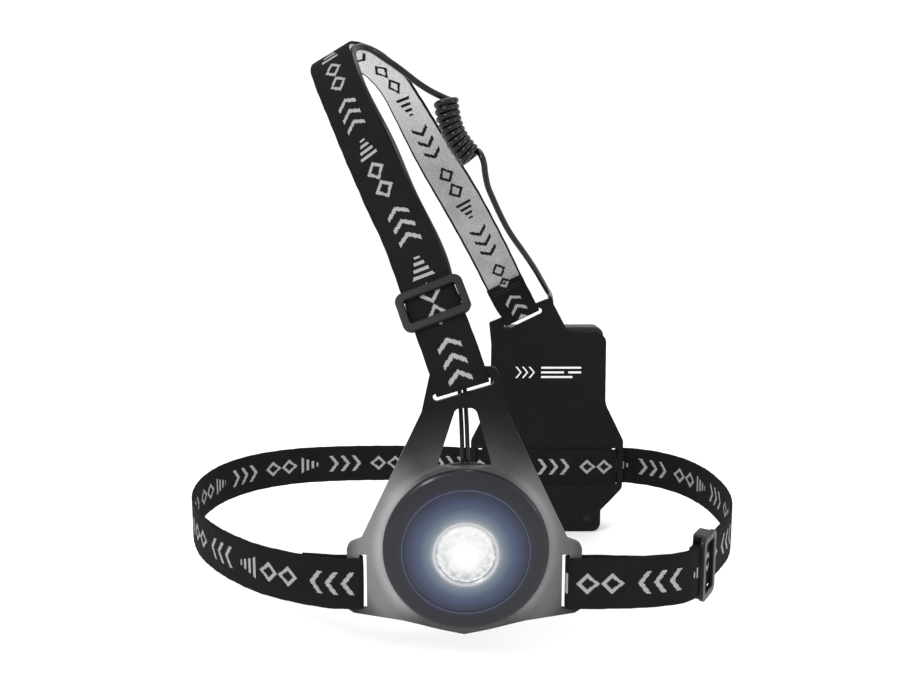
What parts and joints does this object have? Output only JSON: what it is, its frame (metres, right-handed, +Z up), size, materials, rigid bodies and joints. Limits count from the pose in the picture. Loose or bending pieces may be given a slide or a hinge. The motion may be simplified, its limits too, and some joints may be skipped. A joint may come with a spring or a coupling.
{
  "type": "chest-worn headlamp",
  "caption": "Chest-worn headlamp: round LED lamp on a front frame, battery pack behind, elastic chest band, one shoulder strap and a curly lead.",
  "frame": {"origin": "middle of the torso space inside the chest band, at the band's mid height", "axes": "+Z up along the torso, -Y out of the lamp's face, +Y towards the battery pack, +X towards the band slider"},
  "size_m": [0.323, 0.2447, 0.3234],
  "materials": {
    "frame_black": "satin",
    "pack_black": "satin",
    "bezel_charcoal": "satin",
    "window_clear": "clear",
    "lens_clear": "clear",
    "reflector": "satin",
    "ring_grey": "gloss",
    "webbing_black": "woven",
    "slider_black": "matte",
    "rubber_black": "matte",
    "cord_black": "gloss",
    "aluminium": "brushed",
    "steel": "satin",
    "brass": "satin",
    "board_green": "satin",
    "cell_wrap": "satin",
    "led_white": "gloss",
    "tray_black": "matte"
  },
  "bodies": {
    "harness": {"front_frame": "frame_black", "lamp_bezel": "bezel_charcoal", "lens_window": "window_clear", "window_gasket": "ring_grey", "reflector_dish": "reflector", "lens_ring": "ring_grey", "tir_lens": "lens_clear", "led_emitter": "led_white", "led_board": "board_green", "heat_sink": "aluminium", "lamp_housing": "frame_black", "housing_seal": "rubber_black", "lamp_screws": "steel", "lead_glands": "rubber_black", "lamp_lead_left": "cord_black", "lamp_lead_right": "cord_black", "cord_splitter": "rubber_black", "cord_front": "cord_black", "cord_coil": "cord_black", "cord_rear": "cord_black", "pack_gland": "rubber_black", "shoulder_strap": "webbing_black", "strap_return": "webbing_black", "strap_end_fold": "webbing_black", "chest_band_left": "webbing_black", "chest_band_pack": "webbing_black", "chest_band_right": "webbing_black", "band_return_left": "webbing_black", "band_return_right": "webbing_black", "pack_plate": "pack_black", "pack_housing": "pack_black", "pack_seal": "rubber_black", "cell_holder": "tray_black", "cell_1": "cell_wrap", "cell_2": "cell_wrap", "cell_3": "cell_wrap", "contact_springs": "steel", "contact_plates": "brass", "driver_board": "board_green", "tact_switch": "tray_black", "board_components": "tray_black", "pack_screws": "steel"},
    "shoulder_slider": {"shoulder_slider": "slider_black", "strap_loop": "webbing_black"},
    "band_slider": {"band_slider": "slider_black", "band_loop": "webbing_black"},
    "battery_door": {"battery_door": "pack_black"},
    "power_button": {"power_button": "rubber_black"}
  },
  "joints": [
    {"name": "shoulder_slider_slide", "type": "slide", "parent": "harness", "child": "shoulder_slider", "axis": [-0.3224, 0.498, 0.8051], "range_m": [-0.01, 0.022], "deforming": ["strap_return"]},
    {"name": "band_slider_slide", "type": "slide", "parent": "harness", "child": "band_slider", "axis": [0.53, 0.848, 0], "range_m": [0, 0.02], "deforming": ["band_return_right"]},
    {"name": "battery_door_slide", "type": "slide", "parent": "harness", "child": "battery_door", "axis": [0, 0, -1], "range_m": [0, 0.04]},
    {"name": "power_button_press", "type": "slide", "parent": "harness", "child": "power_button", "axis": [0, -1, 0], "range_m": [0, 0.0012], "stiffness_N_per_m": 1500, "springref_m": -0.0004}
  ]
}
